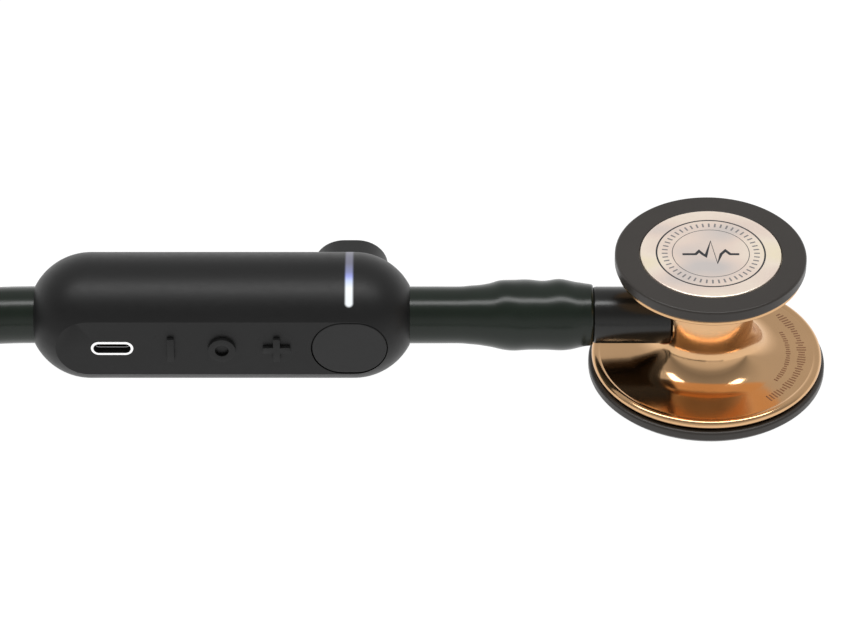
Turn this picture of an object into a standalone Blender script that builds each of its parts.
"""Stethoscope with a digital module in its tube, modelled as separate pieces.

Frame: the origin is the centre of the large diaphragm's face, which lies on the
table. +X runs along the stem away from the module, +Z is up. Lengths are written in
millimetres and turned into metres when a mesh is made.
"""

import math

import bmesh
import bpy
from mathutils import Vector

MM = 0.001

# Chestpiece
AXIS_Z = 14.4  # height of the stem, tube and module axis over the table
LARGE_RIM_R = 23.6
LARGE_FACE_R = 20.3
SMALL_RIM_R = 18.9
SMALL_FACE_R = 13.9
CHEST_TOP_Z = 29.7  # top of the small rim
FACE_PROUD = 0.15  # how far the small diaphragm stands out of its rim
NECK_R = 9.0
LOWER_FLARE_R = 7.0
UPPER_FLARE_R = 5.6
CHANNEL_R = 1.75
STEM_R = 5.65
STEM_SPIGOT_R = 4.2
STEM_BARE = (-22.9, -7.5)  # the stem's visible stretch along X
INDEX_X = -4.6  # where the index ball clicks
BALL_R = 0.75

# Tubes
TUBE_R = 5.67
LUMEN_R = 2.3
CHEST_TUBE = (-61.6, -23.1)

# Module: a round-ended capsule with a flat in front and one behind
MODULE_R = 12.53
MODULE_WALL = 1.5
MODULE_ENDS = (-122.65, -70.4)  # centres of its two round ends
FLAT_Y = 10.7
FLAT_WALL = 1.4
SPLIT_Y = 8.3  # the joint between the housing and its back cover
MOUTH_R = 5.87

# Controls on the front flat
PORT_X = -118.0
PORT_HALF = 2.575  # half of the port's straight part
PORT_RING_R = 1.6
PORT_OPENING_R = 1.08
BUTTONS = {"minus": -106.45, "connect": -96.35, "plus": -85.55}
BUTTON_R = 4.0
BUTTON_TRAVEL = 0.4
SIGN_SIZE = 5.4
SIGN_STROKE = 1.35
SIGN_HEIGHT = 0.8  # how far a key's sign stands out of the flat
SLIDER_CENTRES = (-72.45, -69.98)
SLIDER_R = 6.2
SLOT_GAP = 0.2
SLIDER_TRAVEL = 5.9
SLIDER_X = sum(SLIDER_CENTRES) / 2
VALVE_R = 7.3
VALVE_HALF_Y = 7.4
BORE_R = 1.5
LIGHT_X = -71.25
LIGHT_WIDTH = 1.65
LIGHT_ARC = (45.0, 130.0)  # degrees, from the front over the top

# Headset, lying flat on the table
HEADSET_Y = -160.0
HEADSET_Z = 5.9
YOKE_START_X = -124.7
HINGE = (-88.0, 9.5)  # where a branch leaves the yoke, X and distance from the middle
HINGE_HEADING = 25.4
INSERT_HEADING = 17.0
TIP_HEADING = -30.0
BRANCH_BEND = 45.0
BRANCH_STRAIGHT = 36.0
EAR_BEND_R = 100.0
EAR_END = 10.0
BRANCH_R = 4.4
EAR_TUBE_R = 3.0
EAR_TUBE_BORE = 2.2
EAR_TUBE_FROM = 52.0  # where the ear tube starts inside the branch
KNUCKLE_GAP = 0.3
SPRING_OFFSET = 3.4
SPRING_HALF_Z = 1.5

ROUTE = (
    (-127.6, 0.0, 14.4),
    (-140.0, 0.0, 14.3),
    (-155.0, -0.6, 13.3),
    (-172.0, -3.6, 10.6),
    (-190.0, -10.6, 7.8),
    (-207.0, -21.8, 6.3),
    (-221.5, -37.0, 5.9),
    (-231.5, -56.5, 5.9),
    (-235.5, -79.0, 5.9),
    (-232.5, -101.5, 5.9),
    (-223.0, -121.5, 5.9),
    (-208.0, -138.0, 5.9),
    (-190.0, -149.6, 5.9),
    (-170.0, -156.8, 5.9),
    (-149.0, -159.7, 5.9),
    (-125.0, -160.0, 5.9),
)
HOSE_STEPS = 3

# Facets round a turned piece
DISC_SIDES = 32
ROD_SIDES = 20
SMALL_SIDES = 12


def material(name, colour, roughness, metallic=0.0):
    """A plain material with one colour."""
    made = bpy.data.materials.new(name)
    made.use_nodes = True
    shader = made.node_tree.nodes["Principled BSDF"]
    shader.inputs["Base Color"].default_value = (*colour, 1.0)
    shader.inputs["Roughness"].default_value = roughness
    shader.inputs["Metallic"].default_value = metallic
    return made


def finish_mesh(name, bm, finish, place=(0.0, 0.0, 0.0), helper=False):
    """An object from a bmesh drawn in millimetres around the point `place`."""
    bmesh.ops.recalc_face_normals(bm, faces=bm.faces)
    mesh = bpy.data.meshes.new(name)
    bmesh.ops.scale(bm, vec=(MM, MM, MM), verts=bm.verts)
    bm.to_mesh(mesh)
    bm.free()
    mesh.shade_smooth()
    mesh.set_sharp_from_angle(angle=math.radians(35))
    made = bpy.data.objects.new(name, mesh)
    made.location = [value * MM for value in place]
    bpy.context.scene.collection.objects.link(made)
    if helper:
        made.hide_render = True
        made.display_type = "WIRE"
    else:
        mesh.materials.append(finish)
    return made


def revolved(profile, axis, sides):
    """A bmesh from (along, radius) points turned round an axis.

    A profile whose two ends have no radius is closed by poles. Any other profile is
    a loop, which gives a ring.
    """
    bm = bmesh.new()
    rings = []
    for along, radius in profile:
        ring = []
        for i in range(sides if radius > 0 else 1):
            angle = math.tau * i / sides
            across = (radius * math.cos(angle), radius * math.sin(angle))
            spots = {
                "X": (along, *across),
                "Y": (across[0], along, across[1]),
                "Z": (*across, along),
            }
            ring.append(bm.verts.new(spots[axis]))
        rings.append(ring)
    pairs = list(zip(rings, rings[1:]))
    if profile[0][1] > 0:
        pairs.append((rings[-1], rings[0]))
    for low, high in pairs:
        for i in range(sides):
            corners = [low[i % len(low)], low[(i + 1) % len(low)]]
            corners += [high[(i + 1) % len(high)], high[i % len(high)]]
            bm.faces.new(list(dict.fromkeys(corners)))
    return bm


def lathe(name, profile, axis, place, sides, finish=None, helper=False):
    """A turned object whose axis runs through `place`."""
    return finish_mesh(name, revolved(profile, axis, sides), finish, place, helper)


def prism(name, outline, axis, low, high, place, finish=None, helper=False):
    """An outline pushed along Y or Z. The outline is in (X, Z) or in (X, Y)."""
    bm = bmesh.new()
    rows = []
    for level in (low, high):
        row = []
        for x, other in outline:
            spot = (x, level, other) if axis == "Y" else (x, other, level)
            row.append(bm.verts.new(spot))
        rows.append(row)
    count = len(outline)
    for i in range(count):
        after = (i + 1) % count
        bm.faces.new((rows[0][i], rows[0][after], rows[1][after], rows[1][i]))
    bm.faces.new(rows[0])
    bm.faces.new(rows[1])
    return finish_mesh(name, bm, finish, place, helper)


def box(name, low, high, place, finish=None, helper=False):
    """A block between two corners."""
    outline = ((low[0], low[2]), (high[0], low[2]), (high[0], high[2]), (low[0], high[2]))
    return prism(name, outline, "Y", low[1], high[1], place, finish, helper)


def arc(centre, radius, start, end, steps):
    """Points on an arc, in degrees, both ends included."""
    points = []
    for i in range(steps + 1):
        angle = math.radians(start + (end - start) * i / steps)
        points.append((centre[0] + radius * math.cos(angle), centre[1] + radius * math.sin(angle)))
    return points


def stadium(left, right, radius, steps=12):
    """A round-ended outline whose end centres are at left and right."""
    return arc((right, 0), radius, -90, 90, steps) + arc((left, 0), radius, 90, 270, steps)


def sweep(points, outer, inner, sides):
    """A bmesh of a tube along points. Radii are lists; inner is None for a solid rod."""
    spots = [Vector(point) for point in points]
    bm = bmesh.new()
    skins = []
    for radii in (outer, inner):
        rings = []
        for i, spot in enumerate(spots):
            if radii is None:
                break
            before = spots[max(i - 1, 0)]
            after = spots[min(i + 1, len(spots) - 1)]
            side = (after - before).cross(Vector((0, 0, 1))).normalized()
            up = side.cross(after - before).normalized()
            ring = []
            for k in range(sides):
                angle = math.tau * k / sides
                offset = side * math.cos(angle) + up * math.sin(angle)
                ring.append(bm.verts.new(spot + offset * radii[i]))
            rings.append(ring)
        for low, high in zip(rings, rings[1:]):
            for k in range(sides):
                after = (k + 1) % sides
                bm.faces.new((low[k], low[after], high[after], high[k]))
        skins.append(rings)
    if inner is None:
        bm.faces.new(skins[0][0])
        bm.faces.new(skins[0][-1])
        return bm
    for end in (0, -1):
        for k in range(sides):
            after = (k + 1) % sides
            outside, inside = skins[0][end], skins[1][end]
            bm.faces.new((outside[k], outside[after], inside[after], inside[k]))
    return bm


def cut(target, tool, operation="DIFFERENCE", solver="EXACT"):
    """A live Boolean of the target with a tool."""
    modifier = target.modifiers.new(tool.name, "BOOLEAN")
    modifier.operation = operation
    modifier.solver = solver
    modifier.object = tool


def coil(name, place, radius, wire, height, turns, finish):
    """A closed compression spring that stands on `place` along Z."""
    steps = int(turns * 8)
    points = []
    for i in range(steps + 1):
        angle = math.tau * turns * i / steps
        level = wire + (height - 2 * wire) * i / steps
        points.append((radius * math.cos(angle), radius * math.sin(angle), level))
    bm = sweep(points, [wire] * len(points), None, 4)
    return finish_mesh(name, bm, finish, place)


def ball_profile(radius, steps=6):
    """Half a circle from pole to pole."""
    points = arc((0, 0), radius, 180, 0, steps)
    return [(points[0][0], 0)] + points[1:-1] + [(points[-1][0], 0)]


AXIS = (0.0, 0.0, AXIS_Z)
COPPER = material("copper_finish", (0.62, 0.36, 0.19), 0.12, 1.0)
SMOKE = material("smoke_finish", (0.03, 0.03, 0.032), 0.3, 0.6)
RIM = material("rim_rubber", (0.055, 0.05, 0.047), 0.5)
CHAMPAGNE = material("champagne_face", (0.84, 0.72, 0.6), 0.3, 0.5)
RESIN = material("diaphragm_resin", (0.3, 0.3, 0.3), 0.4)
TUBE = material("tube_rubber", (0.022, 0.03, 0.022), 0.35)
SHELL = material("housing_plastic", (0.03, 0.03, 0.03), 0.5)
KEY = material("key_plastic", (0.035, 0.035, 0.035), 0.5)
SLIDER_FINISH = material("slider_plastic", (0.047, 0.047, 0.047), 0.5)
RING_WHITE = material("port_ring_white", (0.95, 0.95, 0.95), 0.4)
STEEL = material("steel", (0.55, 0.55, 0.55), 0.3, 1.0)
SEAL = material("seal_rubber", (0.02, 0.02, 0.02), 0.6)
BOARD = material("board_green", (0.02, 0.12, 0.05), 0.5)
PART_PLASTIC = material("inner_plastic", (0.2, 0.2, 0.2), 0.5)
CELL = material("battery_foil", (0.5, 0.5, 0.52), 0.35, 0.6)
LIGHT = material("light_pipe_clear", (0.85, 0.9, 1.0), 0.3)
TIP = material("eartip_silicone", (0.03, 0.03, 0.03), 0.6)


def make_chestpiece():
    """The double-sided metal head, turned in one piece and drilled across."""
    bead = arc((22.03, 4.37), 0.94, -75, 120, 5)
    lower = arc((NECK_R + LOWER_FLARE_R, 12.3), LOWER_FLARE_R, 266, 180, 5)
    upper = arc((NECK_R + UPPER_FLARE_R, 19.6), UPPER_FLARE_R, 180, 104, 4)
    outer = [(20.4, 1.9), (22.2, 1.9), (22.2, 3.35), *bead, (21.3, 5.05), *lower, *upper]
    outer += [(18.0, 26.15), (18.45, 26.35), (18.45, 26.9), (17.7, 27.05), (17.7, 28.0)]
    inner = [(16.0, 28.0), (15.4, 27.3), (3.0, 25.3), (CHANNEL_R, 24.9)]
    inner += [(CHANNEL_R, 4.3), (3.0, 4.0), (19.8, 3.0)]
    profile = [(level, radius) for radius, level in outer + inner]
    body = lathe("chestpiece_body", profile, "Z", (0, 0, 0), DISC_SIDES, COPPER)
    boss_profile = [(-7.3, 0), (-7.3, 5.75), (0, 5.75), (0, 0)]
    boss = lathe("boss_tool", boss_profile, "X", AXIS, ROD_SIDES, helper=True)
    bore = [(-20.0, 0), (-20.0, 5.9), (-7.2, 5.9), (-7.2, 4.35), (-5.5, 4.35)]
    bore += [(-5.4, 4.55), (-3.8, 4.55), (-3.7, 4.35)]
    bore += [(1.8, 4.35), (1.8, 4.75), (2.7, 4.75), (2.7, 4.35), (3.4, 4.35), (3.4, 0)]
    bore_tool = lathe("bore_tool", bore, "X", AXIS, ROD_SIDES, helper=True)
    cut(body, boss, "UNION")
    cut(body, bore_tool)


def make_chest_covers():
    """The two diaphragms and the rings that snap over them."""
    step = [(0.0, 0), (0.0, LARGE_FACE_R - 0.3), (0.3, LARGE_FACE_R), (1.2, LARGE_FACE_R)]
    step += [(1.2, 22.0), (1.7, 22.0), (1.7, LARGE_FACE_R - 0.6), (0.7, LARGE_FACE_R - 0.9), (0.7, 0)]
    lathe("large_diaphragm", step, "Z", (0, 0, 0), DISC_SIDES, RESIN)
    ring = [(0.3, 20.6), (0.3, 22.2), (0.6, 22.8), (1.5, LARGE_RIM_R), (2.9, LARGE_RIM_R)]
    ring += [(3.25, 23.2), (3.25, 22.4), (1.05, 22.4), (1.05, 20.6)]
    lathe("large_rim", ring, "Z", (0, 0, 0), DISC_SIDES, RIM)
    top = CHEST_TOP_Z + FACE_PROUD
    step = [(top, 0), (top, SMALL_FACE_R - 0.2), (top - 0.2, SMALL_FACE_R), (28.5, SMALL_FACE_R)]
    step += [(28.5, 17.4), (28.15, 17.4), (28.15, SMALL_FACE_R - 0.4), (28.8, SMALL_FACE_R - 0.7), (28.8, 0)]
    lathe("small_diaphragm", step, "Z", (0, 0, 0), DISC_SIDES, CHAMPAGNE)
    ring = [(27.15, 17.9), (27.15, 18.55), (27.5, SMALL_RIM_R), (29.4, SMALL_RIM_R)]
    ring += [(CHEST_TOP_Z, 18.6), (CHEST_TOP_Z, SMALL_FACE_R + 0.15), (28.65, SMALL_FACE_R + 0.15)]
    ring += [(28.65, 17.9)]
    lathe("small_rim", ring, "Z", (0, 0, 0), DISC_SIDES, RIM)


def barbs(start, step, count, root, tip):
    """Points of saw-tooth rings along X."""
    points = []
    for i in range(count):
        x = start + step * i
        points += [(x, root), (x + 0.8 * step, tip), (x + 0.8 * step, root)]
    return points


def make_stem():
    """The stem, its seal, its retaining ring and the click of the turning head."""
    left, right = STEM_BARE
    profile = [(1.4, 0), (1.4, 1.7), (-41.5, 1.7), *barbs(-41.5, 6.0, 3, 2.9, 3.8), (left, 2.9)]
    profile += [(left, STEM_R - 0.2), (left + 0.2, STEM_R), (right - 0.2, STEM_R), (right, STEM_R - 0.2)]
    profile += [(right, STEM_SPIGOT_R), (-2.7, STEM_SPIGOT_R), (-2.7, 3.6), (-1.7, 3.6)]
    profile += [(-1.7, STEM_SPIGOT_R), (1.8, STEM_SPIGOT_R), (1.8, 3.85), (2.6, 3.85)]
    profile += [(2.6, STEM_SPIGOT_R), (3.1, 4.0), (3.1, 0)]
    stem = lathe("stem", profile, "X", AXIS, ROD_SIDES, SMOKE)
    hole = [(-6.0, 0), (-6.0, 1.2), (0.0, 1.2), (0.0, 0)]
    side_hole = lathe("side_hole_tool", hole, "Z", AXIS, 8, helper=True)
    pocket = [(2.0, 0), (2.0, 0.9), (6.0, 0.9), (6.0, 0)]
    pocket_tool = lathe("pocket_tool", pocket, "Z", (INDEX_X, 0, AXIS_Z), 8, helper=True)
    cut(stem, side_hole)
    cut(stem, pocket_tool)
    lathe("stem_o_ring", arc((-2.2, 3.98), 0.3, 0, 288, 4), "X", AXIS, 16, SEAL)
    band = [(1.95, 4.0), (1.95, 4.6), (2.45, 4.6), (2.45, 4.0)]
    ring = lathe("stem_retaining_ring", band, "X", AXIS, 16, STEEL)
    cut(ring, box("ring_gap_tool", (0, -0.9, -6), (4, 0.9, 0), AXIS, helper=True))
    lathe("index_ball", ball_profile(BALL_R, 4), "Z", (INDEX_X, 0, AXIS_Z + 3.75), 8, STEEL)
    coil("index_spring", (INDEX_X, 0, AXIS_Z + 2.0), 0.55, 0.12, 0.95, 2.5, STEEL)


def make_chest_tube():
    """The short tube, stretched over the stem's barbs."""
    left, right = CHEST_TUBE
    outer = [(left, TUBE_R), (-49.5, TUBE_R), (-45.4, 5.92), (-43.4, 6.35), (-41.4, 6.75), (-39.0, 7.02)]
    outer += [(-35.5, 7.04), (-32.5, 6.85), (-29.8, 7.04), (-27.5, 6.85), (-25.5, 6.45)]
    outer += [(right - 0.3, 6.02), (right, 5.8)]
    inner = [(right, 3.95), (-42.0, 3.95), (-43.0, LUMEN_R), (-50.2, LUMEN_R)]
    inner += [(-50.6, 3.35), (left, 3.35)]
    lathe("chest_tube", outer + inner, "X", AXIS, ROD_SIDES, TUBE)


def capsule(radius):
    """The module's round-ended outline, closed at both poles."""
    left = arc((MODULE_ENDS[0], 0), radius, 180, 90, 5)
    right = arc((MODULE_ENDS[1], 0), radius, 90, 0, 5)
    return [(left[0][0], 0), *left[1:], *right[:-1], (right[-1][0], 0)]


def hollow(name):
    """The space inside the module, flattened behind both flats."""
    bm = revolved(capsule(MODULE_R - MODULE_WALL), "X", 28)
    limit = FLAT_Y - FLAT_WALL
    for vert in bm.verts:
        vert.co.y = max(-limit, min(limit, vert.co.y))
    return finish_mesh(name, bm, None, AXIS, helper=True)


def make_housing():
    """The front housing and the back cover, split behind the middle."""
    mouth = [(-140.0, 0), (-140.0, MOUTH_R), (-50.0, MOUTH_R), (-50.0, 0)]
    mouth_tool = lathe("mouth_tool", mouth, "X", AXIS, ROD_SIDES, helper=True)
    hollow_tool = hollow("hollow_tool")
    front_flat = box("front_flat_tool", (-140, -20, -20), (-50, -FLAT_Y, 20), AXIS, helper=True)
    back_flat = box("back_flat_tool", (-140, FLAT_Y, -20), (-50, 20, 20), AXIS, helper=True)
    behind = box("behind_tool", (-140, SPLIT_Y, -20), (-50, 20, 20), AXIS, helper=True)
    ahead = box("ahead_tool", (-140, -20, -20), (-50, SPLIT_Y + 0.15, 20), AXIS, helper=True)
    slot_outline = stadium(*SLIDER_CENTRES, SLIDER_R + SLOT_GAP)
    slot = prism("slider_slot_tool", slot_outline, "Y", -20, 20, AXIS, helper=True)
    port_outline = stadium(PORT_X - PORT_HALF, PORT_X + PORT_HALF, PORT_RING_R + 0.1, 6)
    port = prism("port_tool", port_outline, "Y", -20, 0, AXIS, helper=True)
    light = light_band("light_slot_tool", 10.4, 14.0, 0.1, 0.6, None, True)
    housing = lathe("front_housing", capsule(MODULE_R), "X", AXIS, DISC_SIDES, SHELL)
    for tool in (front_flat, behind, hollow_tool, mouth_tool, slot, port, light):
        cut(housing, tool)
    for name, x in BUTTONS.items():
        hole = [(-20, 0), (-20, BUTTON_R + 0.1), (0, BUTTON_R + 0.1), (0, 0)]
        cut(housing, lathe(name + "_hole_tool", hole, "Y", (x, 0, AXIS_Z), ROD_SIDES, helper=True))
    cover = lathe("back_cover", capsule(MODULE_R), "X", AXIS, DISC_SIDES, SHELL)
    for tool in (back_flat, ahead, hollow_tool, slot):
        cut(cover, tool)


def light_band(name, inner, outer, side_gap, end_gap, finish, helper=False):
    """A strip bent round the module, from the front over the top."""
    half = LIGHT_WIDTH / 2 + side_gap
    steps = 10
    bm = bmesh.new()
    rows = []
    for i in range(steps + 1):
        angle = math.radians(LIGHT_ARC[0] - end_gap + (LIGHT_ARC[1] - LIGHT_ARC[0] + 2 * end_gap) * i / steps)
        row = []
        for x, radius in ((-half, inner), (half, inner), (half, outer), (-half, outer)):
            row.append(bm.verts.new((x, -radius * math.cos(angle), radius * math.sin(angle))))
        rows.append(row)
    for low, high in zip(rows, rows[1:]):
        for k in range(4):
            after = (k + 1) % 4
            bm.faces.new((low[k], low[after], high[after], high[k]))
    bm.faces.new(rows[0])
    bm.faces.new(rows[-1])
    return finish_mesh(name, bm, finish, (LIGHT_X, 0, AXIS_Z), helper)


def make_port():
    """The charging port: a white ring in the flat and the metal shell behind it."""
    left, right = PORT_X - PORT_HALF, PORT_X + PORT_HALF
    outline = stadium(left, right, PORT_RING_R, 6)
    ring = prism("port_ring", outline, "Y", -FLAT_Y - 0.05, -8.9, AXIS, RING_WHITE)
    hole = stadium(left, right, PORT_OPENING_R, 6)
    opening = prism("port_opening_tool", hole, "Y", -20, -4.1, AXIS, helper=True)
    cut(ring, opening)
    shell = prism("usb_receptacle", stadium(left, right, 1.5, 6), "Y", -8.75, -3.6, AXIS, STEEL)
    cut(shell, opening)
    tongue = box("tongue_tool", (PORT_X - 2.6, -8.1, -0.3), (PORT_X + 2.6, -3.9, 0.3), AXIS, helper=True)
    cut(shell, tongue, "UNION")


def make_buttons():
    """Three keys with a raised sign each, and the switch behind each key."""
    half, bar = SIGN_SIZE / 2, SIGN_STROKE / 2
    top, root = -FLAT_Y - SIGN_HEIGHT, -FLAT_Y + 0.3
    for name, x in BUTTONS.items():
        place = (x, 0, AXIS_Z)
        key = [(-FLAT_Y, 0), (-FLAT_Y, BUTTON_R), (-9.2, BUTTON_R), (-9.2, BUTTON_R + 0.5)]
        key += [(-8.85, BUTTON_R + 0.5), (-8.85, 1.0), (-8.75, 1.0), (-8.75, 0)]
        button = lathe(name + "_button", key, "Y", place, ROD_SIDES, KEY)
        if name == "connect":
            ring = [(top, half - SIGN_STROKE), (top, half), (root, half), (root, half - SIGN_STROKE)]
            cut(button, lathe("ring_sign_tool", ring, "Y", place, 16, helper=True), "UNION")
        else:
            low, high = (-bar, top, -half), (bar, root, half)
            cut(button, box(name + "_upright_tool", low, high, place, helper=True), "UNION")
        if name == "plus":
            low, high = (-half, top, -bar), (half, root, bar)
            cut(button, box("plus_cross_tool", low, high, place, helper=True), "UNION")
        body = [(-8.3, 0), (-8.3, 0.9), (-8.0, 0.9), (-8.0, 1.9), (-7.1, 1.9), (-7.1, 0)]
        lathe(name + "_switch", body, "Y", place, 8, PART_PLASTIC)


def make_slider():
    """The bar that slides through the module, its guide block, seals and click."""
    left, right = SLIDER_CENTRES
    back = FLAT_Y + SLIDER_TRAVEL
    slider = prism("mode_slider", stadium(left, right, SLIDER_R, 10), "Y", -FLAT_Y, back, AXIS, SLIDER_FINISH)
    for index, y in enumerate((0.0, SLIDER_TRAVEL)):
        hole = [(-100, 0), (-100, BORE_R), (-50, BORE_R), (-50, 0)]
        cut(slider, lathe(f"slider_bore_tool_{index}", hole, "X", (0, y, AXIS_Z), 12, helper=True))
    track = ((-0.85, -0.9, -8.0), (0.85, SLIDER_TRAVEL + 0.9, -SLIDER_R + 0.35))
    cut(slider, box("track_tool", *track, (SLIDER_X, 0, AXIS_Z), helper=True))
    for index, y in enumerate((0.0, SLIDER_TRAVEL)):
        pit = [(-8.0, 0), (-8.0, 0.7), (-SLIDER_R + 0.55, 0.7), (-SLIDER_R + 0.55, 0)]
        cut(slider, lathe(f"pit_tool_{index}", pit, "Z", (SLIDER_X, y, AXIS_Z), 10, helper=True))
    outline = stadium(left, right, VALVE_R, 10)
    block = prism("valve_block", outline, "Y", -VALVE_HALF_Y, VALVE_HALF_Y, AXIS, PART_PLASTIC)
    below = (SLIDER_X, 0, AXIS_Z)
    boss_profile = [(-9.6, 0), (-9.6, 1.6), (-7.0, 1.6), (-7.0, 0)]
    boss = lathe("detent_boss_tool", boss_profile, "Z", below, 12, helper=True)
    way_outline = stadium(left, right, SLIDER_R + 0.15, 10)
    way = prism("slider_way_tool", way_outline, "Y", -20, 20, AXIS, helper=True)
    ports = lathe("ports_tool", [(-90, 0), (-90, 2.4), (-50, 2.4), (-50, 0)], "X", AXIS, 12, helper=True)
    well_profile = [(-9.3, 0), (-9.3, 0.85), (0, 0.85), (0, 0)]
    well = lathe("detent_well_tool", well_profile, "Z", below, 12, helper=True)
    cut(block, boss, "UNION")
    for tool in (way, ports, well):
        cut(block, tool)
    for name, low, high in (("left", -80.1, -78.95), ("right", -63.5, -62.72)):
        bush = [(low, 1.4), (low, 2.3), (high, 2.3), (high, 1.4)]
        lathe(name + "_port_bush", bush, "X", AXIS, 12, SEAL)
    lathe("slider_detent_ball", ball_profile(0.7, 4), "Z", (SLIDER_X, 0, AXIS_Z - 6.7), 8, STEEL)
    coil("slider_detent_spring", (SLIDER_X, 0, AXIS_Z - 9.3), 0.5, 0.15, 1.9, 3, STEEL)


def make_air_path():
    """What carries the sound between the two tubes."""
    right = [(-62.6, 1.7), (-62.6, 5.0), (-61.9, 5.0), (-61.9, 2.5)]
    right += [(-58.0, 3.2), (-58.0, 2.5), (-54.5, 3.2), (-54.5, 2.5), (-51.0, 3.2), (-50.8, 1.7)]
    lathe("right_connector", right, "X", AXIS, 16, PART_PLASTIC)
    left = [(-127.2, 1.3), (-127.2, 5.0), (-126.2, 5.0), (-126.2, 2.7), (-123.5, 2.7), (-123.5, 1.95)]
    left += [(-125.5, 1.95), (-125.5, 1.3)]
    lathe("left_connector", left, "X", AXIS, 16, PART_PLASTIC)
    duct = [(-125.3, 1.3), (-125.3, 1.8), (-80.6, 1.8), (-80.6, 1.3)]
    lathe("air_duct", duct, "X", AXIS, 12, PART_PLASTIC)
    behind = (0, 5.3, AXIS_Z)
    capsule_mic = [(-83.4, 0), (-83.4, 1.9), (-80.9, 1.9), (-80.9, 0)]
    lathe("chest_microphone", capsule_mic, "X", behind, 12, STEEL)
    speaker = [(-122.9, 0), (-122.9, 2.9), (-120.2, 2.9), (-120.2, 0)]
    lathe("ear_speaker", speaker, "X", behind, 12, STEEL)


def make_electronics():
    """The board, the cell, the light pipe and the small board that lights it."""
    outline = [(-127.0, -6.5), (-81.5, -6.5), (-81.5, 6.5), (-127.0, 6.5)]
    board = prism("circuit_board", outline, "Y", -7.0, -6.2, AXIS, BOARD)
    low, high = (PORT_X - 4.5, -10, -1.9), (PORT_X + 4.5, 0, 1.9)
    cut(board, box("board_notch_tool", low, high, AXIS, helper=True))
    box("battery", (-119.0, 3.0, -5.6), (-85.0, 8.0, 5.6), AXIS, CELL)
    light_band("light_pipe", 11.1, MODULE_R, 0.0, 0.0, LIGHT)
    led_board = box("led_board", (-73.0, -3.0, 8.3), (-69.6, 3.0, 8.8), AXIS, BOARD)
    led = box("led_tool", (-72.2, -1.0, 8.5), (-70.4, 1.0, 9.7), AXIS, helper=True)
    cut(led_board, led, "UNION")


def hose_points():
    """Points along the long tube, read from a smooth curve through its route."""
    stops = [Vector(stop) for stop in ROUTE]
    points = []
    for i in range(len(stops) - 1):
        before, start, end = stops[max(i - 1, 0)], stops[i], stops[i + 1]
        after = stops[min(i + 2, len(stops) - 1)]
        for k in range(HOSE_STEPS):
            t = k / HOSE_STEPS
            bend = 2 * before - 5 * start + 4 * end - after
            twist = 3 * start - before - 3 * end + after
            points.append(0.5 * (2 * start + (end - before) * t + bend * t * t + twist * t**3))
    return points + [stops[-1]]


def make_hose():
    """The long tube from the module to the yoke."""
    points = hose_points()
    curve = bpy.data.curves.new("main_tube", "CURVE")
    curve.dimensions = "3D"
    curve.bevel_depth = TUBE_R * MM
    curve.bevel_resolution = 2
    curve.use_fill_caps = True
    spline = curve.splines.new("POLY")
    spline.points.add(len(points) - 1)
    for spot, point in zip(spline.points, points):
        spot.co = (*(point * MM), 1.0)
    curve.materials.append(TUBE)
    hose = bpy.data.objects.new("main_tube", curve)
    bpy.context.scene.collection.objects.link(hose)


def arm_point(s):
    """The point and heading at a distance along one arm, from its hinge on."""
    x, across = HINGE
    stretches = (
        (BRANCH_BEND, HINGE_HEADING, INSERT_HEADING),
        (BRANCH_STRAIGHT, INSERT_HEADING, INSERT_HEADING),
        (EAR_BEND_R * math.radians(INSERT_HEADING - TIP_HEADING), INSERT_HEADING, TIP_HEADING),
        (EAR_END, TIP_HEADING, TIP_HEADING),
    )
    for length, start, end in stretches:
        part = min(max(s, 0.0), length)
        heading = start + (end - start) * part / length
        middle = math.radians((start + heading) / 2)
        x += part * math.cos(middle)
        across += part * math.sin(middle)
        s -= length
        if s <= 0:
            break
    return x, across, heading


def arm_length():
    return BRANCH_BEND + BRANCH_STRAIGHT + EAR_BEND_R * math.radians(INSERT_HEADING - TIP_HEADING) + EAR_END


def on_table(x, across, side):
    return (x, HEADSET_Y + side * across, HEADSET_Z)


def arm_path(start, end, side, steps, offset=0.0):
    """Points along one arm, moved sideways by an offset away from the middle."""
    points = []
    for i in range(steps + 1):
        x, across, heading = arm_point(start + (end - start) * i / steps)
        angle = math.radians(heading)
        points.append(on_table(x - offset * math.sin(angle), across + offset * math.cos(angle), side))
    return points


def spring_path():
    """Down one branch, round the crotch of the yoke and up the other."""
    slope = math.radians(HINGE_HEADING)
    arms = arm_path(16.0, 0.0, 1, 3, -SPRING_OFFSET)
    bend_r = 3.2
    reach = (HINGE[1] - SPRING_OFFSET / math.cos(slope) - bend_r / math.cos(slope)) / math.tan(slope)
    centre_x = HINGE[0] - reach
    bend = []
    for x, across in arc((centre_x, 0), bend_r, 90 + HINGE_HEADING, 180, 3):
        bend.append(on_table(x, across, 1))
    half = arms + bend
    other = [(x, 2 * HEADSET_Y - y, z) for x, y, z in reversed(half[:-1])]
    return half + other


def strip(points, thickness, half_height):
    """A bmesh of a flat strip on edge along points."""
    spots = [Vector(point) for point in points]
    bm = bmesh.new()
    rows = []
    for i, spot in enumerate(spots):
        along = spots[min(i + 1, len(spots) - 1)] - spots[max(i - 1, 0)]
        side = along.cross(Vector((0, 0, 1))).normalized() * thickness / 2
        up = Vector((0, 0, half_height))
        corners = (spot - side - up, spot + side - up, spot + side + up, spot - side + up)
        rows.append([bm.verts.new(corner) for corner in corners])
    for low, high in zip(rows, rows[1:]):
        for k in range(4):
            after = (k + 1) % 4
            bm.faces.new((low[k], low[after], high[after], high[k]))
    bm.faces.new(rows[0])
    bm.faces.new(rows[-1])
    return bm


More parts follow.
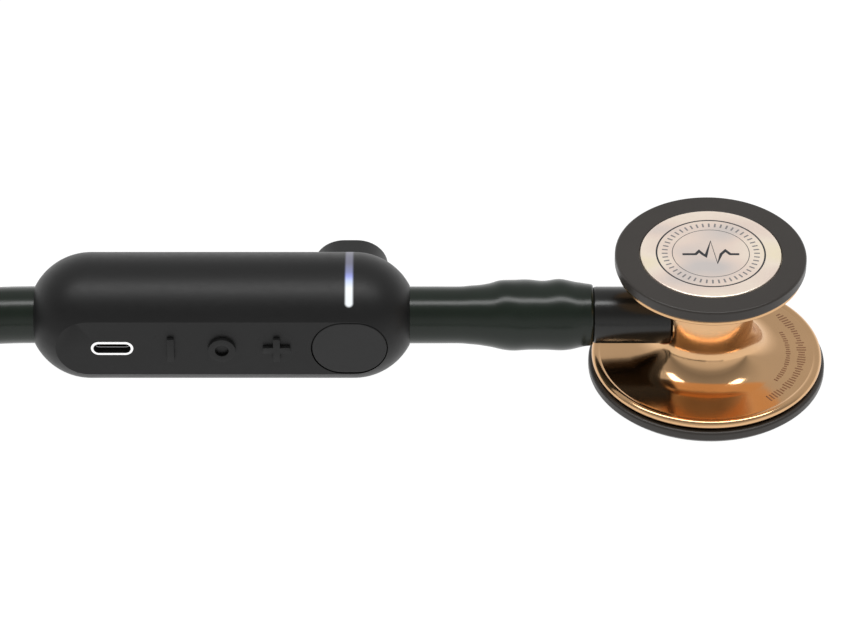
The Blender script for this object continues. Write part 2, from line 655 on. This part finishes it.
def make_yoke():
    """The rubber fork, hollow for sound, with a slot for the leaf spring."""
    run = [(YOKE_START_X + step, HEADSET_Y, HEADSET_Z) for step in (0, 6, 12, 18, 22)]
    yoke = finish_mesh("yoke", sweep(run, [TUBE_R, TUBE_R, TUBE_R, 5.3, 4.6], None, SMALL_SIDES), TUBE)
    slot = strip(spring_path(), 1.0, SPRING_HALF_Z + 0.25)
    slot_tool = finish_mesh("spring_slot_tool", slot, None, helper=True)
    web = [(-113.0, -3.5), (-92.5, -6.5), (-92.5, 6.5), (-113.0, 3.5)]
    web = [(x, HEADSET_Y + y) for x, y in web]
    web_tool = prism("web_tool", web, "Z", HEADSET_Z - 3.2, HEADSET_Z + 3.2, (0, 0, 0), helper=True)
    knuckle = [(-20, 0), (-20, BRANCH_R + KNUCKLE_GAP), (20, BRANCH_R + KNUCKLE_GAP), (20, 0)]
    cut(yoke, web_tool, "UNION")
    tools = []
    for name, side in (("left", 1), ("right", -1)):
        slope = math.radians(HINGE_HEADING)
        reach = HINGE[1] / math.tan(slope)
        way = [on_table(HINGE[0] - reach * (1 - t), HINGE[1] * t, side) for t in (-0.15, 0.3, 0.65, 1.0)]
        limb = sweep(way, [4.6, 4.6, 4.5, BRANCH_R], None, SMALL_SIDES)
        cut(yoke, finish_mesh(name + "_limb_tool", limb, None, helper=True), "UNION")
        inside = [(YOKE_START_X - 2, HEADSET_Y, HEADSET_Z), (-112.0, HEADSET_Y, HEADSET_Z), *way[1:]]
        inside.append(on_table(HINGE[0] + 3, HINGE[1] + 3 * math.tan(slope), side))
        passage = sweep(inside, [LUMEN_R] * len(inside), None, 8)
        tools.append(finish_mesh(name + "_passage_tool", passage, None, helper=True))
        place = on_table(*HINGE, side)
        tools.append(lathe(name + "_knuckle_tool", knuckle, "Z", place, 16, helper=True))
    for tool in [*tools, slot_tool]:
        cut(yoke, tool, solver="MANIFOLD")
    spring = strip(spring_path(), 0.5, SPRING_HALF_Z)
    finish_mesh("headset_spring", spring, STEEL)
    return slot_tool


def make_arm(name, side, slot_tool):
    """One branch with its ear tube, tip adapter and eartip."""
    hinge = on_table(*HINGE, side)
    end = BRANCH_BEND + BRANCH_STRAIGHT
    marks = [0, 15, 30, 45, EAR_TUBE_FROM - 0.6, EAR_TUBE_FROM - 0.4, 66, end - 1.0, end]
    points = [arm_path(mark, mark, side, 1)[0] for mark in marks]
    outer = [BRANCH_R] * (len(marks) - 1) + [BRANCH_R - 0.5]
    inner = [LUMEN_R] * 5 + [EAR_TUBE_R + 0.12] * 4
    bm = sweep(points, outer, inner, SMALL_SIDES)
    bmesh.ops.translate(bm, vec=-Vector(hinge), verts=bm.verts)
    branch = finish_mesh(name + "_branch", bm, TUBE, hinge)
    round_end = [(-BRANCH_R, 0), (-BRANCH_R, 3.4), (-3.4, BRANCH_R)]
    round_end += [(3.4, BRANCH_R), (BRANCH_R, 3.4), (BRANCH_R, 0)]
    knuckle = lathe(name + "_round_end_tool", round_end, "Z", hinge, 16, helper=True)
    entry = sweep(arm_path(-8.0, 6.0, side, 2), [LUMEN_R] * 3, None, 8)
    cut(branch, knuckle, "UNION")
    cut(branch, finish_mesh(name + "_entry_tool", entry, None, helper=True))
    cut(branch, slot_tool)
    base = arm_path(EAR_TUBE_FROM, EAR_TUBE_FROM, side, 1)[0]
    ear_end = arm_length()
    bends = [EAR_TUBE_FROM, end] + [end + (ear_end - EAR_END - end) * i / 6 for i in range(1, 7)] + [ear_end]
    points = [arm_path(mark, mark, side, 1)[0] for mark in bends]
    bm = sweep(points, [EAR_TUBE_R] * len(points), [EAR_TUBE_BORE] * len(points), 10)
    bmesh.ops.translate(bm, vec=-Vector(base), verts=bm.verts)
    finish_mesh(name + "_ear_tube", bm, STEEL, base)
    tip = arm_path(ear_end, ear_end, side, 1)[0]
    turn = math.radians(TIP_HEADING) * side
    adapter = [(-5.0, 1.3), (-5.0, 2.1), (0.2, 2.1), (0.2, EAR_TUBE_R), (1.0, EAR_TUBE_R), (1.0, 2.2)]
    adapter += [(3.6, 2.2), (3.8, 2.7), (5.2, 2.2), (5.2, 1.3)]
    lathe(name + "_tip_adapter", adapter, "X", tip, 10, STEEL).rotation_euler.z = turn
    bud = [(1.2, 2.35), (1.2, 3.6), (2.6, 4.6), (4.6, 5.5), (7.0, 5.65), (9.6, 5.0), (11.6, 3.7)]
    bud += [(12.6, 2.3), (12.7, 1.3), (5.5, 1.3), (5.4, 2.9), (3.6, 2.9), (3.4, 2.35)]
    lathe(name + "_eartip", bud, "X", tip, SMALL_SIDES, TIP).rotation_euler.z = turn


def main():
    for old in list(bpy.data.objects):
        bpy.data.objects.remove(old)
    make_chestpiece()
    make_chest_covers()
    make_stem()
    make_chest_tube()
    make_housing()
    make_port()
    make_buttons()
    make_slider()
    make_air_path()
    make_electronics()
    make_hose()
    slot_tool = make_yoke()
    make_arm("left", 1, slot_tool)
    make_arm("right", -1, slot_tool)


main()
